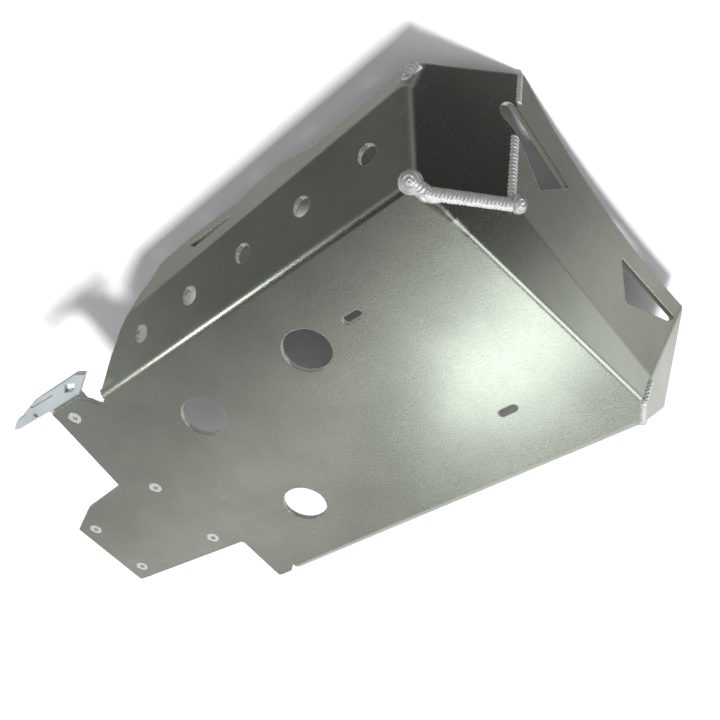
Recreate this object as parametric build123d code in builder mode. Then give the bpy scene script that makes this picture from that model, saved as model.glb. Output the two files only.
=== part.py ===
"""Motorcycle skid plate: a floor, two side walls with wings, a nose, a front panel and two corner
gussets, folded from one gauge of aluminium sheet and welded at the nose corners, with the screws,
nuts and bracket of its rear end."""

from build123d import *
import os
from math import cos, radians, sin

# Frame, mm: X points forward, Y to the left of the machine, Z up. The origin is on the outer face of
# the floor, on the centre line, level with the front drain opening.

# Sheet
sheet = 4.0
side_fold = 10.0  # outside radius of the long folds between floor, walls and wings
nose_fold = 6.0  # outside radius of the crease between floor and nose
panel_fold = 12.0  # outside radius of the folds at the front panel and the gussets
edge_corner = 3.0  # radius of the cut corners of an outline

# Floor and walls
half_width = 125.0
wall_flare = 54.0  # degrees above the horizontal
wing_flare = 78.0
wall_rear_x = -182.0
wing_rear_x = -130.0
wing_front_x = 160.0
wall_height_rear = 56.0  # measured up the wall at wing_rear_x
wall_height_front = 70.0  # measured up the wall at wing_front_x

# Nose, front panel and gussets
crease_right = (148.7, -105.0, 0.0)
crease_left = (179.0, 95.0, 0.0)
nose_slope = 48.0
panel_centre = (197.6, 0.0, 49.8)
panel_turn = 3.8
panel_roll = -5.6
panel_slope = 65.3
gusset_right = ((143.4, -125.0, 0.0), (162.6, -166.2, 56.7), (180.3, -64.8, 28.1))
gusset_left = ((171.5, 125.0, 0.0), (190.5, 100.6, 9.9), (224.0, 106.8, 82.5))

# Side outlines, as (X, Z) seen from the side
wall_rear_edge = ((-179.5, 5.0), (-164.9, 21.4), (-147.6, 37.7), (-134.5, 46.0))
wing_top_edge = ((-125.5, 63.0), (-114.9, 71.7), (-106.3, 86.1), (-96.1, 88.6), (-67.0, 89.9),
                 (-3.2, 83.5), (7.9, 86.4), (41.2, 89.0), (64.0, 79.0), (78.1, 71.5), (85.1, 71.9),
                 (114.0, 73.9), (141.6, 75.7), (172.0, 79.0))
wing_window = ((-66.0, 77.5), (-51.9, 65.0), (6.5, 70.2))

# Front outlines, in the panel's own plane: across from the centre line, and up
panel_top = ((-115.0, 66.0), (-6.0, 47.5), (106.0, 53.0))
window_left = ((31.0, 28.5), (53.0, 0.0), (95.0, 26.0), (101.0, 36.0))
window_right = ((-35.5, 27.5), (-53.0, 0.5), (-73.0, 10.5), (-95.0, 19.5), (-104.0, 21.0))
window_end = (-104.5, 28.5)
window_end_radius = 7.5
window_corner = 2.0

# Free edges of the gussets, from the wing to the panel
corner_right_top = ((171.0, -169.0, 75.0), (216.2, -111.4, 117.5))
corner_left_top = ((178.0, 163.0, 55.0), (226.0, 107.5, 86.0))
wing_left_end = ((150.0, 170.0, 77.0), (190.0, 170.0, 47.0))  # slope of the left wing down to its gusset

# Floor outline behind the walls: at the right as X and the distance beyond that side's fold, at the
# left as X and the distance short of it, and between them as (X, Y)
tab_right = ((-178.0, -7.0), (-182.5, -4.0), (-188.2, -6.8), (-191.4, -4.3), (-194.5, 2.2), (-203.0, 10.6),
             (-238.6, 12.2), (-239.7, 1.8))
tab_tongue = ((-254.7, -45.4), (-309.0, -41.4), (-344.0, -27.0), (-346.6, 59.0), (-203.4, 69.5))
tab_left = ((-206.2, 0.0), (-190.0, 0.0), (-182.0, 6.0))

# Holes in the floor and the walls
drain_radius = 19.6
drains = ((0.0, -63.4), (-119.8, -60.7), (-114.1, 60.8))
slot_length = 16.5
slot_width = 7.0
slots = ((48.1, -67.4), (94.3, 63.3))
side_hole_radius = 7.7
side_hole_count = 5
side_hole_first = (-122.3, 29.4)  # X, and distance up the wall
side_hole_pitch = 60.8
side_hole_rise = 2.5

# Fasteners and rear bracket
bracket_screw = (-223.0, -2.5)  # as the bracket's outline
tongue_screws = ((-224.9, -25.6), (-327.5, -17.8), (-328.7, 45.0), (-226.7, 51.1))
screw_radius = 3.0
head_radius = 5.8
socket_radius = 2.3
socket_depth = 2.2
fit = 0.15
nut_height = 5.0
nut_width = 10.0
thread_end = 1.5
recess = 0.1  # depth of a screw head below the floor's outer face
bracket_thickness = 6.0
bracket_hole_radius = 2.2
bracket_step_depth = 1.2

# Rear bracket, as X and the distance beyond the right side's fold
bracket_outline = ((-291.0, 19.5), (-281.0, 24.0), (-266.0, 24.0), (-266.0, 26.0), (-250.0, 28.5),
                   (-239.0, 28.5), (-188.0, 26.5), (-180.0, 22.0), (-202.0, 11.5), (-207.0, -13.0),
                   (-236.0, -13.0), (-243.0, 14.0), (-258.0, 15.0), (-286.0, 17.0))
bracket_window = ((-212.0, 19.5), (-204.5, 25.5), (-195.0, 21.0), (-203.5, 16.0))
bracket_hole = (-258.0, 18.5)
bracket_step = ((-254.0, 25.5), (-224.0, 23.5), (-224.0, 35.0), (-254.0, 35.0))

# Weld beads
bead_radius = 5.0
small_bead_radius = 4.0
bead_sink = 0.6  # depth of the centre below the seam, as a share of the radius
blob_radius = 8.5
small_blob_radius = 6.5
blob_sink = 0.7

# Cutters
trim_depth = 20.0  # depth of a cut on each side of a facet
reach = corner_right_top[1][2] + 3 * sheet  # a little more than the plate's height

os.makedirs("parts", exist_ok=True)

up = Vector(0, 0, 1)
inside_point = Vector(0, 0, 60)


def facet(first, second, third):
    """Plane through three points, facing out of the bowl, with its x direction from first to second."""
    first, second, third = Vector(first), Vector(second), Vector(third)
    normal = (second - first).cross(third - first)
    if normal.dot(inside_point - first) > 0:
        normal = normal * -1
    return Plane(origin=first, x_dir=second - first, z_dir=normal)


def wall_point(x, height, side):
    """Point on the outer face of a wall, at a distance up the wall from its fold with the floor."""
    flare = radians(wall_flare)
    return Vector(x, side * (half_width + height * cos(flare)), height * sin(flare))


def wall_facet(side):
    return facet(wall_point(0, 0, side), wall_point(wing_front_x, 0, side), wall_point(0, wall_height_rear, side))


def wing_facet(side):
    rear = wall_point(wing_rear_x, wall_height_rear, side)
    front = wall_point(wing_front_x, wall_height_front, side)
    rise = Vector(0, side * cos(radians(wing_flare)), sin(radians(wing_flare)))
    return facet(rear, front, rear + rise * wall_height_rear)


def nose_facet():
    right, left = Vector(crease_right), Vector(crease_left)
    along = (left - right).normalized()
    slope = Vector(along.Y, -along.X, 0) * cos(radians(nose_slope)) + up * sin(radians(nose_slope))
    return facet(right, left, right + slope * half_width)


def panel_facet():
    turn, roll, slope = radians(panel_turn), radians(panel_roll), radians(panel_slope)
    across = Vector(sin(turn) * cos(roll), cos(turn) * cos(roll), sin(roll))
    rise = Vector(cos(slope), 0, sin(slope))
    return Plane(origin=panel_centre, x_dir=across, z_dir=across.cross(rise))


def beyond_fold(point):
    """Point of the floor from its X and its distance beyond the right side's fold."""
    x, distance = point
    return x, -half_width - distance


right_side, left_side = -1, 1
floor = Plane(origin=(0, 0, 0), z_dir=(0, 0, -1))
wall_right, wall_left = wall_facet(right_side), wall_facet(left_side)
wing_right, wing_left = wing_facet(right_side), wing_facet(left_side)
nose = nose_facet()
panel = panel_facet()
corner_right, corner_left = facet(*gusset_right), facet(*gusset_left)

facets = (floor, wall_right, wall_left, wing_right, wing_left, nose, panel, corner_right, corner_left)
folds = (
    (side_fold, ((floor, wall_right), (floor, wall_left), (wall_right, wing_right), (wall_left, wing_left))),
    (panel_fold, ((wall_right, corner_right), (panel, corner_left))),
    (panel_fold, ((nose, panel),)),
    (nose_fold, ((floor, nose),)),
)


def edges_between(edges, first, second):
    """The edges that lie on both planes."""
    found = ShapeList()
    for edge in edges:
        ends = (edge @ 0, edge @ 0.5, edge @ 1)
        if all(abs(plane.to_local_coords(end).Z) < 0.001 for plane in (first, second) for end in ends):
            found.append(edge)
    return found


def bowl_block(inset):
    """Solid inside every facet moved in by the inset, with the folds rounded."""
    with BuildPart() as block:
        with Locations((wall_rear_x - inset, 0, -sheet)):
            Box(4 * reach, 4 * reach, reach + inset, align=(Align.MIN, Align.CENTER, Align.MIN))
        for plane in facets:
            split(bisect_by=plane.offset(-inset), keep=Keep.BOTTOM)
        for radius, pairs in folds:
            sharp = ShapeList()
            for first, second in pairs:
                sharp += edges_between(block.edges(), first.offset(-inset), second.offset(-inset))
            fillet(sharp, radius - inset)
    return block.part


bowl_outer = bowl_block(0)
bowl_inner = bowl_block(sheet)


def prism(plane, points, depth, corner=0.0):
    """Cutter with an outline of straight sides, to a depth on both sides of its plane."""
    with BuildPart() as cutter:
        with BuildSketch(plane) as outline:
            with BuildLine():
                Polyline(*points, close=True)
            make_face()
            if corner:
                fillet(outline.vertices(), corner)
        extrude(amount=depth, both=True)
    return cutter.part


def trim_above(plane, start, end, depth=trim_depth):
    """Cutter for all of a facet above the line from start to a little past the end."""
    start, end = Vector(start), Vector(end)
    past = end + (end - start).normalized() * trim_depth
    outline = [plane.to_local_coords(point) for point in (start, past, past + up * reach, start + up * reach)]
    return prism(plane, [(point.X, point.Y) for point in outline], depth)


def side_cutter():
    """Everything behind and above the side outline, through both sides."""
    panel_x, panel_y, panel_z = corner_right_top[1]
    rear_z = wall_rear_edge[0][1]
    outline = (*wall_rear_edge, *wing_top_edge, (panel_x - sheet, panel_z), (panel_x - sheet, reach),
               (-2 * reach, reach), (-2 * reach, rear_z))
    return prism(Plane.XZ, outline, 2 * reach)


def panel_top_cutter():
    start, middle, end = panel_top
    with BuildPart() as cutter:
        with BuildSketch(panel):
            with BuildLine():
                ThreePointArc(start, middle, end)
                Polyline(end, (end[0] + trim_depth, reach), (start[0] - trim_depth, reach), start)
            make_face()
        extrude(amount=trim_depth, both=True)
    return cutter.part


def window_right_cutter():
    """The front window that runs on into the gusset, where it ends round."""
    with BuildPart() as cutter:
        with BuildSketch(panel):
            with BuildLine():
                Polyline(*window_right, window_end, close=True)
            make_face()
            with BuildLine():
                Polyline(window_end, (window_end[0], window_end[1] + window_end_radius), window_right[0],
                         window_right[-1], close=True)
            make_face()
            with Locations(window_end):
                Circle(window_end_radius)
        extrude(amount=trim_depth, both=True)
    return cutter.part


tab_edge_left = [(x, half_width - distance) for x, distance in tab_left]
screw_places = [beyond_fold(bracket_screw), *tongue_screws]
with BuildPart() as skid_plate:
    add(bowl_outer)
    add(bowl_inner, mode=Mode.SUBTRACT)
    add(side_cutter(), mode=Mode.SUBTRACT)
    add(panel_top_cutter(), mode=Mode.SUBTRACT)
    add(trim_above(corner_right, *corner_right_top), mode=Mode.SUBTRACT)
    add(trim_above(corner_left, *corner_left_top), mode=Mode.SUBTRACT)
    add(trim_above(wing_left, *wing_left_end, 2 * sheet), mode=Mode.SUBTRACT)
    with BuildSketch(Plane.XY) as tab:
        with BuildLine():
            Polyline(*map(beyond_fold, tab_right), *tab_tongue, *tab_edge_left, close=True)
        make_face()
        fillet(tab.vertices().filter_by_position(Axis.X, -4 * reach, tab_tongue[-1][0]), edge_corner)
    extrude(amount=sheet)
    for side in (right_side, left_side):
        for number in range(side_hole_count):
            first_x, first_height = side_hole_first
            x = first_x + number * side_hole_pitch
            height = first_height + number * side_hole_rise
            facing = (wall_right if side == right_side else wall_left).z_dir
            with BuildSketch(Plane(origin=wall_point(x, height, side), z_dir=facing)):
                Circle(side_hole_radius)
            extrude(amount=2 * sheet, both=True, mode=Mode.SUBTRACT)
    add(prism(Plane.XZ, wing_window, 2 * reach, window_corner), mode=Mode.SUBTRACT)
    add(prism(panel, window_left, trim_depth, window_corner), mode=Mode.SUBTRACT)
    add(window_right_cutter(), mode=Mode.SUBTRACT)
    with BuildSketch(Plane.XY):
        with Locations(*drains):
            Circle(drain_radius)
        with Locations(*slots):
            SlotOverall(slot_length, slot_width)
    extrude(amount=sheet, mode=Mode.SUBTRACT)
    for x, y in screw_places:
        with Locations(Plane(origin=(x, y, 0), z_dir=(0, 0, -1))):
            CounterSinkHole(screw_radius + fit, head_radius + fit, depth=sheet, counter_sink_angle=90)
skid_plate.part.label = "skid_plate"
export_step(skid_plate.part, "parts/skid_plate.step")


def screw(place, grip):
    """Countersunk socket screw, head down, through the given thickness and its nut."""
    x, y = place
    cone = head_radius - screw_radius
    with BuildPart() as fastener:
        with Locations((x, y, recess)):
            Cone(head_radius, screw_radius, cone, align=(Align.CENTER, Align.CENTER, Align.MIN))
        with Locations((x, y, recess + cone)):
            Cylinder(screw_radius, grip + nut_height + thread_end - recess - cone,
                     align=(Align.CENTER, Align.CENTER, Align.MIN))
        with BuildSketch(Plane(origin=(x, y, recess))):
            RegularPolygon(socket_radius, 6, major_radius=False)
        extrude(amount=socket_depth, mode=Mode.SUBTRACT)
    return fastener.part


grips = [sheet + (bracket_thickness if place == screw_places[0] else 0) for place in screw_places]
with BuildPart() as rear_screws:
    for place, grip in zip(screw_places, grips):
        add(screw(place, grip))
rear_screws.part.label = "rear_screws"
export_step(rear_screws.part, "parts/rear_screws.step")

with BuildPart() as rear_nuts:
    for place, grip in zip(screw_places, grips):
        with BuildSketch(Plane(origin=(*place, grip))):
            RegularPolygon(nut_width / 2, 6, major_radius=False)
            Circle(screw_radius + fit, mode=Mode.SUBTRACT)
        extrude(amount=nut_height)
rear_nuts.part.label = "rear_nuts"
export_step(rear_nuts.part, "parts/rear_nuts.step")

with BuildPart() as rear_bracket:
    with BuildSketch(Plane.XY.offset(sheet)):
        with BuildLine():
            Polyline(*map(beyond_fold, bracket_outline), close=True)
        make_face()
        with BuildLine(mode=Mode.PRIVATE) as window_line:
            Polyline(*map(beyond_fold, bracket_window), close=True)
        make_face(window_line.edges(), mode=Mode.SUBTRACT)
        with Locations(screw_places[0]):
            Circle(screw_radius + fit, mode=Mode.SUBTRACT)
        with Locations(beyond_fold(bracket_hole)):
            Circle(bracket_hole_radius, mode=Mode.SUBTRACT)
    extrude(amount=bracket_thickness)
    step = [beyond_fold(point) for point in bracket_step]
    add(prism(Plane.XY.offset(sheet), step, bracket_step_depth), mode=Mode.SUBTRACT)
rear_bracket.part.label = "rear_bracket"
export_step(rear_bracket.part, "parts/rear_bracket.step")


def meeting(first, second, third):
    """Point where three planes cross."""
    planes = (first, second, third)
    offsets = [plane.z_dir.dot(plane.origin) for plane in planes]
    normals = [plane.z_dir for plane in planes]
    total = Vector(0, 0, 0)
    for number in range(3):
        total += normals[(number + 1) % 3].cross(normals[(number + 2) % 3]) * offsets[number]
    return total * (1 / normals[0].dot(normals[1].cross(normals[2])))


def bead(start, end, first, second, radius):
    """One run of weld along the seam of two facets, sunk so that only its crown shows."""
    sink = (first.z_dir + second.z_dir).normalized() * (radius * bead_sink)
    start, end = Vector(start) - sink, Vector(end) - sink
    with BuildPart() as run:
        with BuildSketch(Plane(origin=start, z_dir=end - start)):
            Circle(radius)
        extrude(amount=(end - start).length)
        with Locations(start, end):
            Sphere(radius)
    return run.part


def bead_runs():
    """Seams of both nose corners: the two ends, the two facets and the bead radius of each."""
    foot_right = meeting(floor, wall_right, corner_right)
    floor_right = meeting(floor, nose, corner_right)
    nose_right = meeting(nose, panel, corner_right)
    shoulder_right = meeting(wall_right, wing_right, corner_right)
    foot_left = meeting(floor, wall_left, corner_left)
    floor_left = meeting(floor, nose, corner_left)
    nose_left = meeting(nose, panel, corner_left)
    return (
        (foot_right, floor_right, floor, corner_right, bead_radius),
        (floor_right, nose_right, nose, corner_right, bead_radius),
        (nose_right, corner_right_top[1], panel, corner_right, bead_radius),
        (shoulder_right + up * side_fold, corner_right_top[0], wing_right, corner_right, bead_radius),
        (foot_left, floor_left, floor, corner_left, small_bead_radius),
        (floor_left, nose_left, nose, corner_left, small_bead_radius),
        (foot_left, corner_left_top[0], wall_left, corner_left, small_bead_radius),
    )


def blob(first, second, third, radius):
    """Weld built up in a corner of three facets."""
    inward = (first.z_dir + second.z_dir + third.z_dir).normalized() * (radius * blob_sink)
    with BuildPart() as ball:
        with Locations(meeting(first, second, third) - inward):
            Sphere(radius)
    return ball.part


with BuildPart() as weld_beads:
    for run in bead_runs():
        add(bead(*run))
    add(blob(floor, wall_right, corner_right, blob_radius))
    add(blob(nose, panel, corner_right, small_blob_radius))
    add(blob(floor, wall_left, corner_left, small_blob_radius))
    add(bowl_outer, mode=Mode.SUBTRACT)
    add(window_right_cutter(), mode=Mode.SUBTRACT)
    add(panel_top_cutter(), mode=Mode.SUBTRACT)
    add(trim_above(corner_right, *corner_right_top), mode=Mode.SUBTRACT)
    add(trim_above(corner_left, *corner_left_top), mode=Mode.SUBTRACT)
    split(bisect_by=floor, keep=Keep.BOTTOM)
weld_beads.part.label = "weld_beads"
export_step(weld_beads.part, "parts/weld_beads.step")
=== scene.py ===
"""Studio scene of the folded and welded skid plate, seen from below as in the photograph."""

import random
from math import cos, pi, sin, tau

import bpy
from mathutils import Matrix, Vector


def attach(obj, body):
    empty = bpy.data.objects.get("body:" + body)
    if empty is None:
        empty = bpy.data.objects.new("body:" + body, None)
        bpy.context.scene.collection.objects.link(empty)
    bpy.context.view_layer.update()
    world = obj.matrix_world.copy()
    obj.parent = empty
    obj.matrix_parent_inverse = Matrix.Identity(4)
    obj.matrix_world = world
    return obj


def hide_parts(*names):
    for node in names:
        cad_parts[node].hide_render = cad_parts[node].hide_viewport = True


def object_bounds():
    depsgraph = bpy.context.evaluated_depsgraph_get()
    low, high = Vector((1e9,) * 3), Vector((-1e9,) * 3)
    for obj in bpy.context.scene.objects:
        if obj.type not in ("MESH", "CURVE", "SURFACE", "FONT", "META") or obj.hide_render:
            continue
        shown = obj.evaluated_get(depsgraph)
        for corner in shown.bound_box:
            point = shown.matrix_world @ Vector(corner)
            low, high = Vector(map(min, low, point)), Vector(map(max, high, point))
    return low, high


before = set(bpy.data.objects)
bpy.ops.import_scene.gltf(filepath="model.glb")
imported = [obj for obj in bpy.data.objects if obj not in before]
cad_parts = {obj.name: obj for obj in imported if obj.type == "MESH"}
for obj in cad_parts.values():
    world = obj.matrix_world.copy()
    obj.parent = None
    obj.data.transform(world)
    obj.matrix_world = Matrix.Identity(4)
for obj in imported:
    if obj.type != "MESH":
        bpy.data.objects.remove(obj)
cad_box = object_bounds()

# Camera of the photograph: its axes, its place in metres and its focal length in picture widths
CAMERA_RIGHT = Vector((0.7625, 0.6268, 0.1602))
CAMERA_DOWN = Vector((-0.4369, 0.6815, -0.5871))
CAMERA_AHEAD = Vector((-0.4772, 0.3777, 0.7935))
CAMERA_PLACE = Vector((0.2897, -0.2416, -0.4342))
SENSOR = 36.0
FOCAL_WIDTHS = 1.0181
NEAREST_SEEN = 0.01

# Stage, metres
STAGE_SIZE = 6.0
STAGE_GAP = 0.0004  # between the plate and the sheet that it stands on or hangs under
PAPER = (0.86, 0.87, 0.88)

# Lamps: name, direction from the point that they aim at, distance, sizes along and across, watts,
# colour, and whether metal mirrors it
LAMPS = (
    ("main_below", (-0.31, 0.49, -0.81), 1.5, 0.18, 0.46, 0.95, (0.93, 1.0, 1.0), True),
    ("wall_below", (-0.66, -0.47, -0.60), 1.5, 0.3, 0.3, 1.4, (0.96, 1.0, 1.0), True),
    ("crease_below", (0.45, 0.37, -0.81), 1.5, 0.9, 0.7, 3.0, (0.96, 1.0, 1.0), True),
    ("nose_front", (0.88, 0.44, -0.16), 1.5, 0.6, 0.6, 0.45, (0.96, 1.0, 1.0), True),
    ("paper_side", (-0.05, 0.29, -0.955), 4.0, 0.7, 0.7, 188.0, (1.0, 1.0, 1.0), False),
    ("paper_fill", (0.25, -0.35, -0.90), 4.0, 3.0, 3.0, 36.0, (1.0, 1.0, 1.0), False),
    ("paper_above", (-0.40, -0.45, 0.80), 4.0, 3.0, 3.0, 260.0, (1.0, 1.0, 1.0), False),
)
LAMP_AIM = Vector((0.147, 0.021, 0.0))

# The room that the plate mirrors, as grey levels by the X, Y and Z of a direction: the brightest counts
ROOM = (
    ("X", ((-1.0, 0.60), (-0.72, 0.30), (-0.60, 0.17), (-0.42, 0.01))),
    ("Y", ((-1.0, 0.12), (-0.75, 0.12), (-0.56, 0.30), (-0.30, 0.01), (0.14, 0.01), (0.28, 0.05),
           (0.38, 0.74), (0.46, 0.50), (0.56, 0.26), (0.75, 0.85))),
    ("Z", ((0.35, 0.0), (0.46, 0.30), (0.72, 0.32), (1.0, 0.45))),
)
ROOM_AFTER_PAPER = 0.04  # share of the room that metal passes on to the paper

# Metal
ROLLED = (2.0, 22.0, 22.0)  # stretch of the rolled grain, which runs along X
EVEN = (1.0, 1.0, 1.0)
CLOUD_DARK = 0.84  # tone of the dark clouds, as a share of the colour
CLOUD_EDGES = (0.30, 0.70)
CLOUD_DETAIL = 5.0
GRAIN_SCALE = 60.0
GRAIN_DETAIL = 6.0
GRAIN_TONE = 0.14  # how far the grain darkens the colour
GRAIN_STOPS = ((0.25, 0.75), (0.75, 1.0))
GRAIN_ROUGHNESS = 0.10  # how far the roughness varies with the grain
BUMP_STRENGTH = 0.6
BUMP_DEPTH = 0.000006
# Bright bare metal for the scratches and for the sharp edges; on the edges it is partly wear and partly a
# painted highlight on the rims
EDGE_COLOUR = (0.86, 0.88, 0.87)
EDGE_STOPS = ((0.80, 1.0), (0.95, 0.0))  # by the cosine between the surface and the edge worn round
EDGE_SAMPLES = 4
SCRATCH_TURNS = (0.35, -0.9, 1.4)
SCRATCH_SCALE = 7.0
SCRATCH_DETAIL = 1.0
SCRATCH_STRETCH = (1.0, 45.0, 1.0)
SCRATCH_STOPS = ((0.665, 0.0), (0.672, 1.0), (0.68, 0.0))
PATCH_DETAIL = 2.0
PATCH_STOPS = ((0.52, 0.0), (0.60, 1.0))

# Facets that the welds lie between, as their outward normals
FLOOR = Vector((0.0, 0.0, -1.0))
NOSE = Vector((0.735, -0.111, -0.669))
PANEL = Vector((0.904, -0.101, -0.416))
CORNER_RIGHT = Vector((0.828, -0.281, -0.485))
CORNER_LEFT = Vector((0.794, 0.454, -0.405))
WING_RIGHT = Vector((-0.02, -0.978, -0.208))
WALL_RIGHT = Vector((0.0, -0.809, -0.588))
WALL_LEFT = Vector((0.0, 0.809, -0.588))

# Ends of the welded seams, metres
FOOT_RIGHT = Vector((0.1434, -0.125, 0.0))
FLOOR_RIGHT = Vector((0.1475, -0.1129, 0.0))
NOSE_RIGHT = Vector((0.1804, -0.0644, 0.0281))
PANEL_RIGHT = Vector((0.2162, -0.1114, 0.1175))
SHOULDER_RIGHT = Vector((0.1626, -0.1662, 0.0667))
WING_RIGHT_END = Vector((0.171, -0.169, 0.075))
FOOT_LEFT = Vector((0.1715, 0.125, 0.0))
FLOOR_LEFT = Vector((0.181, 0.1083, 0.0))
NOSE_LEFT = Vector((0.1921, 0.1009, 0.0135))
WINDOW_LOW = 0.50  # share of the panel's seam below the window
WINDOW_HIGH = 0.77  # share of the panel's seam up to the upper edge of the window
NOSE_LEFT_WELDED = 0.9  # share of the left nose seam that is welded

# Weld beads, metres
BEAD = 0.0058
SMALL_BEAD = 0.0034
THIN_BEAD = 0.0029
BEAD_SINK = 0.55  # depth of the centre below the seam, as a share of the radius
WELD_DEPTH = 0.0022  # how far a weld reaches into the sheet
WELD_PRESS = 0.15  # share of its height that a bead keeps below the floor's face
BESIDE_PANEL = Vector((-0.0014, -0.0012, 0.0004))  # from the panel's seam to the middle of its bead
RIPPLE_PITCH = 0.0029
RIPPLE_DEPTH = 0.13
RIPPLE_SPREAD = (0.6, 1.3)  # least and greatest depth of a ripple, as shares of the usual one
RIPPLE_FRONT = 0.25  # share of a ripple that its steep front takes
RIPPLE_BACK = 0.7  # how round its back is
RIPPLE_SWEEP = 1.1
BEAD_SIDES = 32
RIPPLE_RINGS = 10

# Weld built up in the corners: corner, the normals of its facets, radius, sink as a share of it,
# turns of the spiral
BESIDE_NOSE = Vector((0.0045, 0.0015, 0.0))
BLOBS = (
    (FOOT_RIGHT, (FLOOR, WALL_RIGHT, CORNER_RIGHT), 0.0088, 0.68, 4.2),
    (NOSE_RIGHT + BESIDE_NOSE, (NOSE, PANEL, CORNER_RIGHT), 0.0072, 0.62, 3.6),
    (SHOULDER_RIGHT, (WING_RIGHT, CORNER_RIGHT), 0.0065, 0.5, 2.5),
    (FLOOR_RIGHT, (FLOOR, NOSE, CORNER_RIGHT), 0.0064, 0.60, 2.5),
    (FOOT_LEFT, (FLOOR, WALL_LEFT, CORNER_LEFT), 0.0040, 0.7, 2.5),
)
BLOB_DEPTH = 0.18
BLOB_REACH = 0.62  # how far down the ball its surface goes, as a share of half a turn
BLOB_SIDES = 48
BLOB_RINGS = 40
BLOB_TOP = 0.2  # place of the first ring, in ring steps from the top

dice = random.Random(11)


def new_material(name):
    """A new material with an empty tree, the tree's nodes and links, and its output."""
    material = bpy.data.materials.new(name)
    material.use_nodes = True
    nodes, links = material.node_tree.nodes, material.node_tree.links
    nodes.clear()
    output = nodes.new("ShaderNodeOutputMaterial")
    return material, nodes, links, output


def place_camera():
    """Camera at the photograph's angle."""
    data = bpy.data.cameras.new("photo_camera")
    data.sensor_width = SENSOR
    data.lens = FOCAL_WIDTHS * SENSOR
    data.clip_start = NEAREST_SEEN
    camera = bpy.data.objects.new("photo_camera", data)
    axes = (CAMERA_RIGHT.normalized(), -CAMERA_DOWN.normalized(), -CAMERA_AHEAD.normalized())
    camera.matrix_world = Matrix.Translation(CAMERA_PLACE) @ Matrix(axes).transposed().to_4x4()
    bpy.context.scene.collection.objects.link(camera)
    bpy.context.scene.camera = camera


def one_sided_paper():
    """Matte paper that is seen from its front only."""
    material, nodes, links, output = new_material("paper")
    mix = nodes.new("ShaderNodeMixShader")
    matte = nodes.new("ShaderNodeBsdfDiffuse")
    matte.inputs["Color"].default_value = (*PAPER, 1.0)
    clear = nodes.new("ShaderNodeBsdfTransparent")
    geometry = nodes.new("ShaderNodeNewGeometry")
    links.new(geometry.outputs["Backfacing"], mix.inputs["Fac"])
    links.new(matte.outputs["BSDF"], mix.inputs[1])
    links.new(clear.outputs["BSDF"], mix.inputs[2])
    links.new(mix.outputs["Shader"], output.inputs["Surface"])
    return material


def stage_sheet(name, height, facing_up, material):
    """Wide sheet of the stage, seen by the camera and by nothing else."""
    half = STAGE_SIZE / 2
    corners = [(-half, -half, height), (half, -half, height), (half, half, height), (-half, half, height)]
    if not facing_up:
        corners.reverse()
    mesh = bpy.data.meshes.new(name)
    mesh.from_pydata(corners, [], [(0, 1, 2, 3)])
    mesh.materials.append(material)
    sheet = bpy.data.objects.new(name, mesh)
    sheet.visible_diffuse = False
    sheet.visible_glossy = False
    sheet.visible_transmission = False
    sheet.visible_shadow = False
    bpy.context.scene.collection.objects.link(sheet)


def build_stage():
    """A floor under the plate, seen from above, and the table that it hangs under, seen from below."""
    low, high = cad_box
    paper = one_sided_paper()
    stage_sheet("floor", low[2] - STAGE_GAP, True, paper)
    stage_sheet("table", high[2] + STAGE_GAP, False, paper)


def light_scene():
    """Soft lamps, some for the metal's highlights and some for the paper."""
    for name, direction, distance, along, across, watts, colour, mirrored in LAMPS:
        data = bpy.data.lights.new(name, "AREA")
        data.shape = "RECTANGLE"
        data.size = across
        data.size_y = along
        data.energy = watts
        data.color = colour
        away = Vector(direction).normalized()
        across_axis = Vector((0.0, 1.0, 0.0)).cross(away).normalized()
        axes = (across_axis, away.cross(across_axis), away)
        lamp = bpy.data.objects.new(name, data)
        lamp.visible_glossy = mirrored
        place = Matrix.Translation(LAMP_AIM + away * distance)
        lamp.matrix_world = place @ Matrix(axes).transposed().to_4x4()
        bpy.context.scene.collection.objects.link(lamp)


def noise(nodes, links, coordinates, scale, detail, stretch=EVEN, turn=(0.0, 0.0, 0.0)):
    """Noise on the object's own coordinates, stretched and turned."""
    mapping = nodes.new("ShaderNodeMapping")
    mapping.inputs["Scale"].default_value = stretch
    mapping.inputs["Rotation"].default_value = turn
    links.new(coordinates.outputs["Object"], mapping.inputs["Vector"])
    texture = nodes.new("ShaderNodeTexNoise")
    texture.inputs["Scale"].default_value = scale
    texture.inputs["Detail"].default_value = detail
    links.new(mapping.outputs["Vector"], texture.inputs["Vector"])
    return texture.outputs["Fac"]


def ramp(nodes, links, source, stops):
    """Colour ramp with the given stops of place and grey level or colour."""
    node = nodes.new("ShaderNodeValToRGB")
    elements = node.color_ramp.elements
    while len(elements) < len(stops):
        elements.new(0.5)
    for element, (place, value) in zip(elements, stops):
        element.position = place
        element.color = (*value, 1.0) if isinstance(value, tuple) else (value, value, value, 1.0)
    links.new(source, node.inputs["Fac"])
    return node.outputs["Color"]


def arithmetic(nodes, links, operation, *values):
    """Result of a maths node on numbers and outputs."""
    node = nodes.new("ShaderNodeMath")
    node.operation = operation
    for socket, value in zip(node.inputs, values):
        if isinstance(value, (int, float)):
            socket.default_value = value
        else:
            links.new(value, socket)
    return node.outputs["Value"]


def mix_colour(nodes, links, blend, factor, first, second):
    """Result of a colour mix of numbers, colours and outputs."""
    node = nodes.new("ShaderNodeMix")
    node.data_type = "RGBA"
    node.blend_type = blend
    factor_socket, first_socket, second_socket = node.inputs[0], node.inputs[6], node.inputs[7]
    for socket, value in ((factor_socket, factor), (first_socket, first), (second_socket, second)):
        if isinstance(value, tuple):
            socket.default_value = (*value, 1.0)
        elif isinstance(value, (int, float)):
            socket.default_value = value
        else:
            links.new(value, socket)
    return node.outputs[2]


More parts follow.
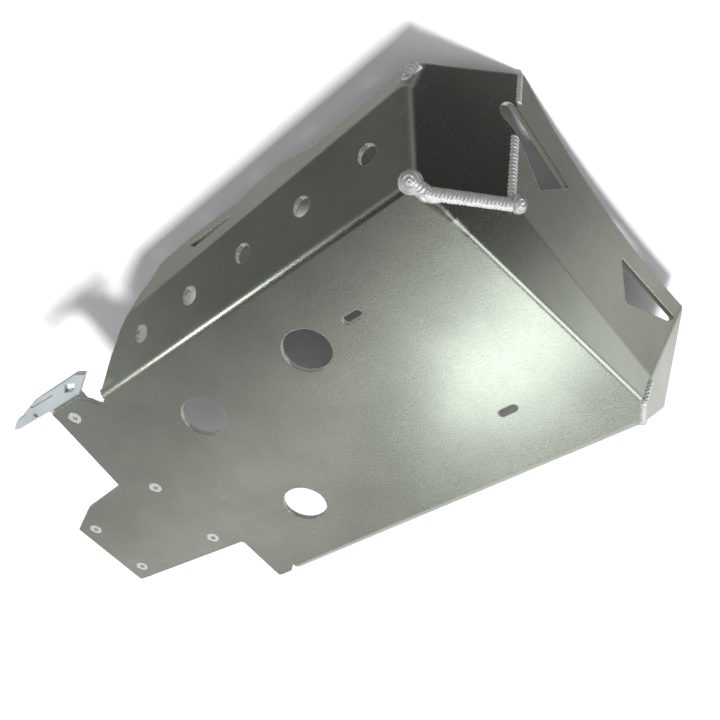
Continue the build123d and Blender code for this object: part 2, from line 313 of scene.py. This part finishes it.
def room_level(nodes, links):
    """Grey level of the room by the direction of a ray."""
    coordinates = nodes.new("ShaderNodeTexCoord")
    split = nodes.new("ShaderNodeSeparateXYZ")
    links.new(coordinates.outputs["Generated"], split.inputs["Vector"])
    brightest = 0.0
    for axis, stops in ROOM:
        place = nodes.new("ShaderNodeMapRange")
        place.inputs["From Min"].default_value = -1.0
        links.new(split.outputs[axis], place.inputs["Value"])
        shares = [((value + 1) / 2, grey) for value, grey in stops]
        level = ramp(nodes, links, place.outputs["Result"], shares)
        brightest = arithmetic(nodes, links, "MAXIMUM", brightest, level)
    return brightest


def room_strength(nodes, links, path):
    """Full strength, but little for what metal passes on to the paper."""
    glossy, bounces = path.outputs["Is Glossy Ray"], path.outputs["Diffuse Depth"]
    passed_on = arithmetic(nodes, links, "MULTIPLY", glossy, bounces)
    passed_on = arithmetic(nodes, links, "MINIMUM", passed_on, 1.0)
    strength = nodes.new("ShaderNodeMapRange")
    strength.inputs["To Min"].default_value = 1.0
    strength.inputs["To Max"].default_value = ROOM_AFTER_PAPER
    links.new(passed_on, strength.inputs["Value"])
    return strength.outputs["Result"]


def build_world():
    """White to the camera; to the plate a soft room with one bright side and a pale table above it."""
    world = bpy.data.worlds.new("studio")
    world.use_nodes = True
    nodes, links = world.node_tree.nodes, world.node_tree.links
    nodes.clear()
    output = nodes.new("ShaderNodeOutputWorld")
    mix = nodes.new("ShaderNodeMixShader")
    seen = nodes.new("ShaderNodeBackground")
    seen.inputs["Color"].default_value = (1.0, 1.0, 1.0, 1.0)
    room = nodes.new("ShaderNodeBackground")
    path = nodes.new("ShaderNodeLightPath")
    links.new(room_level(nodes, links), room.inputs["Color"])
    links.new(room_strength(nodes, links, path), room.inputs["Strength"])
    links.new(path.outputs["Is Camera Ray"], mix.inputs["Fac"])
    links.new(room.outputs["Background"], mix.inputs[1])
    links.new(seen.outputs["Background"], mix.inputs[2])
    links.new(mix.outputs["Shader"], output.inputs["Surface"])
    bpy.context.scene.world = world


def edge_wear_and_sheen(nodes, links, radius):
    """Mask that is near 1 within the radius of a sharp edge, where the colour is painted lighter, partly as
    wear and partly as a painted highlight, and the normal of the edge worn round.
    """
    bevel = nodes.new("ShaderNodeBevel")
    bevel.samples = EDGE_SAMPLES
    bevel.inputs["Radius"].default_value = radius
    geometry = nodes.new("ShaderNodeNewGeometry")
    dot = nodes.new("ShaderNodeVectorMath")
    dot.operation = "DOT_PRODUCT"
    links.new(bevel.outputs["Normal"], dot.inputs[0])
    links.new(geometry.outputs["Normal"], dot.inputs[1])
    return ramp(nodes, links, dot.outputs["Value"], EDGE_STOPS), bevel.outputs["Normal"]


def scratch_marks(nodes, links, coordinates):
    """Fine straight scratches in a few directions, in patches."""
    marks = 0.0
    for turn in SCRATCH_TURNS:
        turned = (0.0, 0.0, turn)
        thin = noise(nodes, links, coordinates, SCRATCH_SCALE, SCRATCH_DETAIL, SCRATCH_STRETCH, turned)
        band = ramp(nodes, links, thin, SCRATCH_STOPS)
        marks = arithmetic(nodes, links, "MAXIMUM", marks, band)
    wide = noise(nodes, links, coordinates, SCRATCH_SCALE, PATCH_DETAIL)
    patches = ramp(nodes, links, wide, PATCH_STOPS)
    return arithmetic(nodes, links, "MULTIPLY", marks, patches)


def metal(name, colour, roughness, grain=EVEN, cloud_scale=18.0, scratches=0.0, metallic=1.0, edge=0.0006,
          round_edges=True):
    """Bare metal: clouded tone, rolled grain along its stretch, fine scratches, and edges painted bright,
    partly as wear and partly as a painted highlight.
    """
    material, nodes, links, output = new_material(name)
    shader = nodes.new("ShaderNodeBsdfPrincipled")
    shader.inputs["Metallic"].default_value = metallic
    coordinates = nodes.new("ShaderNodeTexCoord")
    clouds = noise(nodes, links, coordinates, cloud_scale, CLOUD_DETAIL)
    lines = noise(nodes, links, coordinates, GRAIN_SCALE, GRAIN_DETAIL, grain)
    dark = tuple(CLOUD_DARK * value for value in colour)
    tone = ramp(nodes, links, clouds, tuple(zip(CLOUD_EDGES, (dark, colour))))
    shade = ramp(nodes, links, lines, GRAIN_STOPS)
    tone = mix_colour(nodes, links, "MULTIPLY", GRAIN_TONE, tone, shade)
    smoothest = roughness - GRAIN_ROUGHNESS / 2
    rough = arithmetic(nodes, links, "MULTIPLY_ADD", lines, GRAIN_ROUGHNESS, smoothest)
    height = lines
    if scratches:
        marks = scratch_marks(nodes, links, coordinates)
        marks = arithmetic(nodes, links, "MULTIPLY", marks, scratches)
        tone = mix_colour(nodes, links, "MIX", marks, tone, EDGE_COLOUR)
        height = arithmetic(nodes, links, "SUBTRACT", lines, marks)
    # Edges painted lighter: partly worn bare metal, partly a painted highlight on the rims
    wear_and_sheen, rounded = edge_wear_and_sheen(nodes, links, edge)
    tone = mix_colour(nodes, links, "MIX", wear_and_sheen, tone, EDGE_COLOUR)
    bump = nodes.new("ShaderNodeBump")
    bump.inputs["Strength"].default_value = BUMP_STRENGTH
    bump.inputs["Distance"].default_value = BUMP_DEPTH
    links.new(tone, shader.inputs["Base Color"])
    links.new(rough, shader.inputs["Roughness"])
    links.new(height, bump.inputs["Height"])
    if round_edges:
        links.new(rounded, bump.inputs["Normal"])
    links.new(bump.outputs["Normal"], shader.inputs["Normal"])
    links.new(shader.outputs["BSDF"], output.inputs["Surface"])
    return material


def dress(node, material):
    """Give a CAD node its material."""
    obj = bpy.data.objects[node]
    if not obj.material_slots:
        obj.data.materials.append(material)
    for slot in obj.material_slots:
        slot.material = material


def ripple(place):
    """Height of one stacked ripple, from its steep front to its long back, between 0 and 1."""
    phase = place % 1.0
    if phase < RIPPLE_FRONT:
        return phase / RIPPLE_FRONT
    return (1.0 - (phase - RIPPLE_FRONT) / (1.0 - RIPPLE_FRONT)) ** RIPPLE_BACK


def held_in_sheet(point, corner, normals, outward):
    """The point, lifted along outward where it would come out of the sheet's inner face."""
    nearest = max(normals, key=lambda normal: normal.dot(point - corner))
    depth = -nearest.dot(point - corner)
    if depth <= WELD_DEPTH:
        return point
    return point + outward * ((depth - WELD_DEPTH) / nearest.dot(outward))


def band_faces(base, rings, around, turned=False):
    """Faces between the rings of points that start at base, or the same faces turned over."""
    faces = []
    for ring in range(rings):
        for step in range(around):
            here = base + ring * around + step
            beside = base + ring * around + (step + 1) % around
            if turned:
                faces.append((here, here + around, beside + around, beside))
            else:
                faces.append((here, beside, beside + around, here + around))
    return faces


def add_tube(vertices, faces, start, end, normals, lean, radius):
    """One run of weld: a round bead along the seam, with ripples bent across it like stacked coins."""
    axis = (end - start).normalized()
    first, second = normals
    outward = first * lean + second
    outward = (outward - axis * outward.dot(axis)).normalized()
    side = axis.cross(outward)
    length = (end - start).length
    centre = start - outward * (radius * BEAD_SINK)
    rings = max(2, int(length / RIPPLE_PITCH * RIPPLE_RINGS))
    depths = [RIPPLE_DEPTH * dice.uniform(*RIPPLE_SPREAD) for _ in range(rings)]
    base = len(vertices)
    for ring in range(rings + 1):
        along = length * ring / rings
        for step in range(BEAD_SIDES):
            angle = tau * step / BEAD_SIDES
            lag = radius * RIPPLE_SWEEP * (1.0 - cos(angle))
            place = (along + lag) / RIPPLE_PITCH
            swell = 1.0 - depths[int(place) % len(depths)] * (1.0 - ripple(place))
            spoke = outward * cos(angle) + side * sin(angle)
            point = centre + axis * along + spoke * (radius * swell)
            vertices.append(held_in_sheet(point, start, normals, outward))
    faces += band_faces(base, rings, BEAD_SIDES)
    last = base + rings * BEAD_SIDES
    faces.append(tuple(reversed(range(base, base + BEAD_SIDES))))
    faces.append(tuple(range(last, last + BEAD_SIDES)))


def add_blob(vertices, faces, corner, normals, radius, sink, turns):
    """Weld built up in a corner, wound in a spiral, with its root in the sheet."""
    outward = sum(normals, Vector()).normalized()
    side = outward.orthogonal().normalized()
    other = outward.cross(side)
    centre = corner - outward * (radius * sink)
    base = len(vertices)
    for ring in range(BLOB_RINGS + 1):
        tilt = pi * BLOB_REACH * (ring + BLOB_TOP) / (BLOB_RINGS + BLOB_TOP)
        for step in range(BLOB_SIDES):
            angle = tau * step / BLOB_SIDES
            place = ring / BLOB_RINGS * turns - step / BLOB_SIDES
            swell = 1.0 - BLOB_DEPTH * (1.0 - ripple(place))
            spoke = (side * cos(angle) + other * sin(angle)) * sin(tilt) + outward * cos(tilt)
            vertices.append(held_in_sheet(centre + spoke * (radius * swell), corner, normals, outward))
    faces += band_faces(base, BLOB_RINGS, BLOB_SIDES, turned=True)
    faces.append(tuple(range(base, base + BLOB_SIDES)))
    last = base + BLOB_RINGS * BLOB_SIDES
    root = len(vertices)
    vertices.append(held_in_sheet(centre, corner, normals, outward))
    for step in range(BLOB_SIDES):
        faces.append((last + step, root, last + (step + 1) % BLOB_SIDES))


def weld_runs():
    """Seam's start and end, the normals of its two facets, the first one's weight, and the radius."""
    rise = PANEL_RIGHT - NOSE_RIGHT
    beside = NOSE_RIGHT + BESIDE_PANEL
    nose_left_end = FLOOR_LEFT.lerp(NOSE_LEFT, NOSE_LEFT_WELDED)
    return (
        (FOOT_RIGHT, FLOOR_RIGHT, (FLOOR, CORNER_RIGHT), 1.0, BEAD),
        (FLOOR_RIGHT, NOSE_RIGHT, (NOSE, CORNER_RIGHT), 1.6, BEAD),
        (beside, beside + rise * WINDOW_LOW, (CORNER_RIGHT, PANEL), 2.0, BEAD),
        (NOSE_RIGHT + rise * WINDOW_HIGH, PANEL_RIGHT, (PANEL, CORNER_RIGHT), 1.0, SMALL_BEAD),
        (SHOULDER_RIGHT, WING_RIGHT_END, (WING_RIGHT, CORNER_RIGHT), 1.0, BEAD),
        (FOOT_LEFT, FLOOR_LEFT, (FLOOR, CORNER_LEFT), 1.0, THIN_BEAD),
        (FLOOR_LEFT, nose_left_end, (NOSE, CORNER_LEFT), 1.0, THIN_BEAD),
    )


def build_welds():
    """All welds as one mesh. Below the floor's face they are pressed flat, but shaded as if round."""
    vertices, faces = [], []
    for run in weld_runs():
        add_tube(vertices, faces, *run)
    for blob in BLOBS:
        add_blob(vertices, faces, *blob)
    mesh = bpy.data.meshes.new("weld_ripples")
    mesh.from_pydata([tuple(vertex) for vertex in vertices], [], faces)
    mesh.update()
    for polygon in mesh.polygons:
        polygon.use_smooth = True
    round_normals = [tuple(vertex.normal) for vertex in mesh.vertices]
    for vertex in mesh.vertices:
        if vertex.co.z < 0.0:
            vertex.co.z *= WELD_PRESS
    mesh.normals_split_custom_set_from_vertices(round_normals)
    welds = bpy.data.objects.new("weld_ripples", mesh)
    bpy.context.scene.collection.objects.link(welds)
    return welds


place_camera()
build_stage()
light_scene()
build_world()
rolled_aluminium = metal("rolled_aluminium", (0.63, 0.665, 0.575), 0.27, ROLLED, scratches=0.6, edge=0.0012)
screw_steel = metal("screw_steel", (0.80, 0.82, 0.81), 0.32, metallic=0.66, edge=0.0005)
nut_steel = metal("nut_steel", (0.66, 0.66, 0.64), 0.36, edge=0.0003)
milled_aluminium = metal("milled_aluminium", (0.60, 0.66, 0.68), 0.42, ROLLED, metallic=0.5)
weld_metal = metal("weld_metal", (0.84, 0.86, 0.85), 0.28, cloud_scale=200.0, metallic=0.72,
                   round_edges=False)
dress("skid_plate", rolled_aluminium)
dress("rear_screws", screw_steel)
dress("rear_nuts", nut_steel)
dress("rear_bracket", milled_aluminium)
dress("weld_beads", weld_metal)
welds = build_welds()
welds.data.materials.append(weld_metal)
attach(welds, "root")
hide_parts("weld_beads")

bpy.context.scene.view_settings.view_transform = "Standard"
